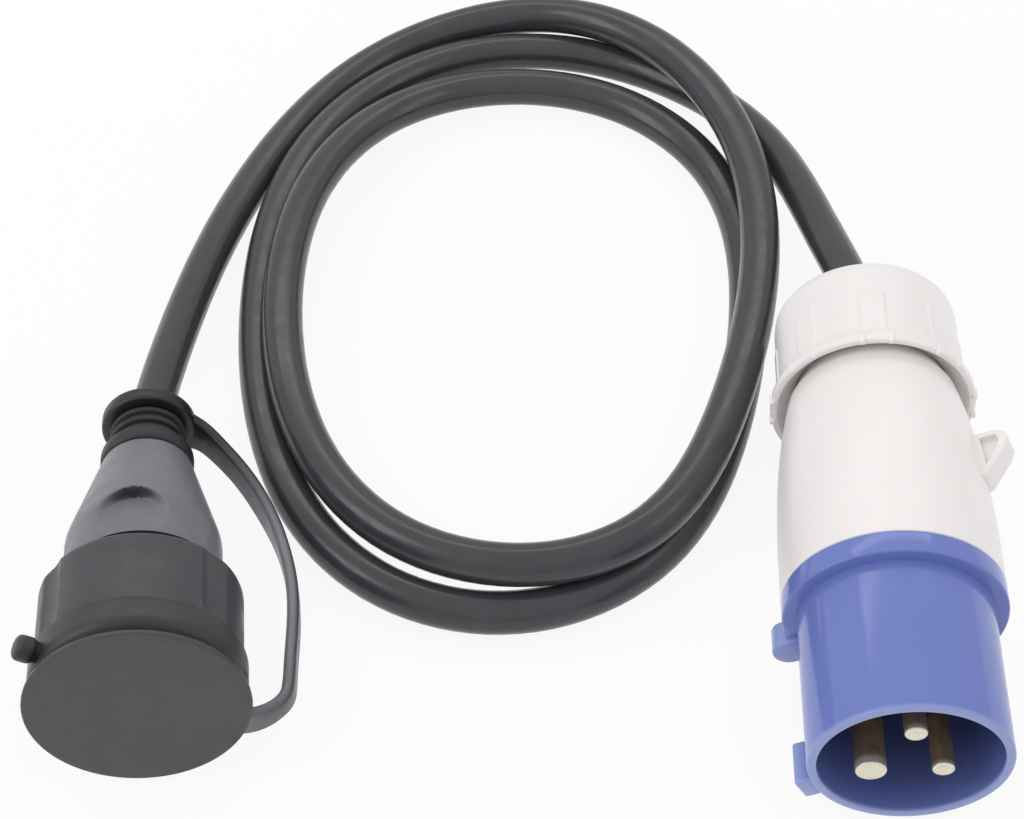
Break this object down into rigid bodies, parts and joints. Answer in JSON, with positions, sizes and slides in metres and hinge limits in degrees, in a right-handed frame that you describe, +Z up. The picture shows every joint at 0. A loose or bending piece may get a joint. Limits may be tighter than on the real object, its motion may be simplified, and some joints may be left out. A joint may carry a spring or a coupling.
{
  "type": "plug adapter lead",
  "caption": "Short adapter lead: white and blue three-pin industrial plug, black rubber cable in loose turns, dark rubber earthed coupling with a tethered cap.",
  "frame": {"origin": "middle of the two connectors' box, on the floor they lie on", "axes": "+X from the coupling to the plug, -Y the way both connectors face, +Z up"},
  "size_m": [0.2256, 0.2778, 0.051],
  "materials": {
    "white_plastic": "satin",
    "blue_plastic": "satin",
    "navy_plastic": "satin",
    "brass": "drawn",
    "steel": "plated",
    "grey_rubber": "matt",
    "dark_rubber": "matt",
    "black_rubber": "matt",
    "core_brown": "satin",
    "core_blue": "satin",
    "core_green": "satin",
    "black_plastic": "satin"
  },
  "bodies": {
    "adapter": {"plug_shroud": "blue_plastic", "pin_carrier": "navy_plastic", "pin_earth": "brass", "pin_line": "brass", "pin_neutral": "brass", "plug_screw_earth": "steel", "plug_screw_line": "steel", "plug_screw_neutral": "steel", "plug_body": "white_plastic", "gland_seal": "black_rubber", "plug_core_earth": "core_green", "plug_core_line": "core_brown", "plug_core_neutral": "core_blue", "cable": "black_rubber", "coupling_collar": "dark_rubber", "socket_insert": "black_plastic", "contact_line": "brass", "contact_neutral": "brass", "earth_bow": "brass", "coupling_screw_line": "steel", "coupling_screw_neutral": "steel", "coupling_screw_earth": "steel", "coupling_grip": "grey_rubber", "cord_clamp": "black_plastic", "clamp_screw_right": "steel", "clamp_screw_left": "steel", "neck_sleeve": "black_rubber", "coupling_core_line": "core_brown", "coupling_core_neutral": "core_blue", "coupling_core_earth": "core_green", "cap_tether": "black_rubber"},
    "cap": {"cap": "dark_rubber"},
    "gland_claw": {"gland_claw": "white_plastic"},
    "gland_nut": {"gland_nut": "white_plastic"}
  },
  "joints": [
    {"name": "cap_swing", "type": "hinge", "parent": "adapter", "child": "cap", "pos_m": [-0.05328, -0.03816, 0.01512], "axis": [-0.0095, 0.0971, 0.9952], "range_deg": [0, 95]},
    {"name": "claw_slide", "type": "slide", "parent": "adapter", "child": "gland_claw", "axis": [0.0314, 0.9995, 0], "range_m": [0, 0.0046]},
    {"name": "nut_turn", "type": "hinge", "parent": "gland_claw", "child": "gland_nut", "pos_m": [0.08401, 0.04924, 0.0255], "axis": [0.0314, 0.9995, 0], "range_deg": [0, 540]}
  ],
  "couplings": [
    {"joint": "claw_slide", "follows": "nut_turn", "m_per_rad": 0.00047746}
  ]
}
